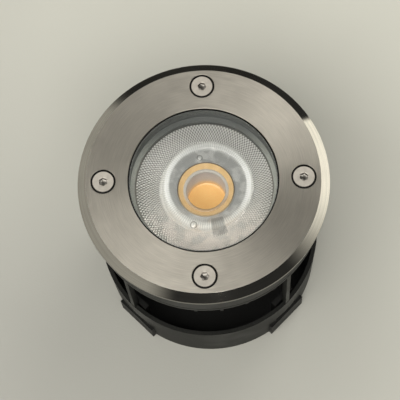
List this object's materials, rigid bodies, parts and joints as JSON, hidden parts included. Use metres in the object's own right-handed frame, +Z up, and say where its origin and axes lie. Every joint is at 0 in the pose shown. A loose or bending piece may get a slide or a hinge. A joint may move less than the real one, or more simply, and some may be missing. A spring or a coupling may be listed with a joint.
{
  "type": "in ground well light",
  "caption": "Round in ground well light: bevelled steel ring, flush glass over a beaded LED lens, finned black housing, in a black burial sleeve with side windows.",
  "frame": {"origin": "middle of the sleeve's underside, where it rests in the ground", "axes": "+Z up along the lamp's axis, out through the glass; ring screws on +X, +Y, -X and -Y; sleeve ribs halfway between them"},
  "size_m": [0.13, 0.13, 0.126],
  "materials": {
    "ring_steel": "lathe-brushed stainless steel with a polished bevel",
    "screw_steel": "satin stainless steel",
    "clear_glass": "clear tempered glass with a faint green edge",
    "black_rubber": "matte black silicone",
    "sleeve_plastic": "matte black moulded plastic",
    "black_plastic": "matte black plastic",
    "white_plastic": "white plastic",
    "housing_black": "black powder coat on die-cast aluminium",
    "trim_grey": "satin grey coat on aluminium",
    "lens_acrylic": "clear moulded acrylic with a beaded reflecting wall",
    "board_white": "white coated board",
    "phosphor": "yellow phosphor under clear silicone",
    "thermal_grey": "grey thermal pad",
    "driver_case": "white plastic case",
    "lead_red": "red silicone insulation",
    "lead_black": "black silicone insulation",
    "lead_brown": "brown silicone insulation",
    "lead_blue": "blue silicone insulation",
    "gland_nylon": "black nylon"
  },
  "bodies": {
    "sleeve": {"sleeve_base": "sleeve_plastic", "sleeve_frame": "sleeve_plastic"},
    "lamp": {"lamp_housing": "housing_black", "front_ring": "ring_steel", "cover_glass": "clear_glass", "glass_gasket": "black_rubber", "inner_trim": "trim_grey", "tir_lens": "lens_acrylic", "lens_holder": "black_plastic", "cob_holder": "white_plastic", "cob_board": "board_white", "cob_phosphor": "phosphor", "thermal_pad": "thermal_grey", "cob_holder_screws": "screw_steel", "led_driver": "driver_case", "driver_screws": "screw_steel", "terminal_block": "white_plastic", "terminal_block_screw": "screw_steel", "lead_positive": "lead_red", "lead_negative": "lead_black", "supply_live": "lead_brown", "supply_neutral": "lead_blue", "rear_cover": "housing_black", "rear_cover_seal": "black_rubber", "rear_cover_screws": "screw_steel", "gland_body": "gland_nylon", "gland_o_ring": "black_rubber", "gland_bush": "black_rubber", "gland_nut": "gland_nylon"},
    "seal_1": {"screw_seal_1": "black_rubber"},
    "screw_1": {"ring_screw_1": "screw_steel"},
    "seal_2": {"screw_seal_2": "black_rubber"},
    "screw_2": {"ring_screw_2": "screw_steel"},
    "seal_3": {"screw_seal_3": "black_rubber"},
    "screw_3": {"ring_screw_3": "screw_steel"},
    "seal_4": {"screw_seal_4": "black_rubber"},
    "screw_4": {"ring_screw_4": "screw_steel"}
  },
  "joints": [
    {"name": "lamp_lift", "type": "slide", "parent": "sleeve", "child": "lamp", "axis": [0, 0, 1], "range_m": [0, 0.105]},
    {"name": "screw_1_lift", "type": "slide", "parent": "lamp", "child": "seal_1", "axis": [0, 0, 1], "range_m": [0, 0.012]},
    {"name": "screw_1_turn", "type": "hinge", "parent": "seal_1", "child": "screw_1", "pos_m": [0.05155, 0, 0.126], "axis": [0, 0, 1], "range_deg": [0, 4321]},
    {"name": "screw_2_lift", "type": "slide", "parent": "lamp", "child": "seal_2", "axis": [0, 0, 1], "range_m": [0, 0.012]},
    {"name": "screw_2_turn", "type": "hinge", "parent": "seal_2", "child": "screw_2", "pos_m": [0, 0.05155, 0.126], "axis": [0, 0, 1], "range_deg": [0, 4321]},
    {"name": "screw_3_lift", "type": "slide", "parent": "lamp", "child": "seal_3", "axis": [0, 0, 1], "range_m": [0, 0.012]},
    {"name": "screw_3_turn", "type": "hinge", "parent": "seal_3", "child": "screw_3", "pos_m": [-0.05155, 0, 0.126], "axis": [0, 0, 1], "range_deg": [0, 4321]},
    {"name": "screw_4_lift", "type": "slide", "parent": "lamp", "child": "seal_4", "axis": [0, 0, 1], "range_m": [0, 0.012]},
    {"name": "screw_4_turn", "type": "hinge", "parent": "seal_4", "child": "screw_4", "pos_m": [0, -0.05155, 0.126], "axis": [0, 0, 1], "range_deg": [0, 4321]}
  ],
  "couplings": [
    {"joint": "screw_1_turn", "follows": "screw_1_lift", "rad_per_m": 6283.2},
    {"joint": "screw_2_turn", "follows": "screw_2_lift", "rad_per_m": 6283.2},
    {"joint": "screw_3_turn", "follows": "screw_3_lift", "rad_per_m": 6283.2},
    {"joint": "screw_4_turn", "follows": "screw_4_lift", "rad_per_m": 6283.2}
  ]
}
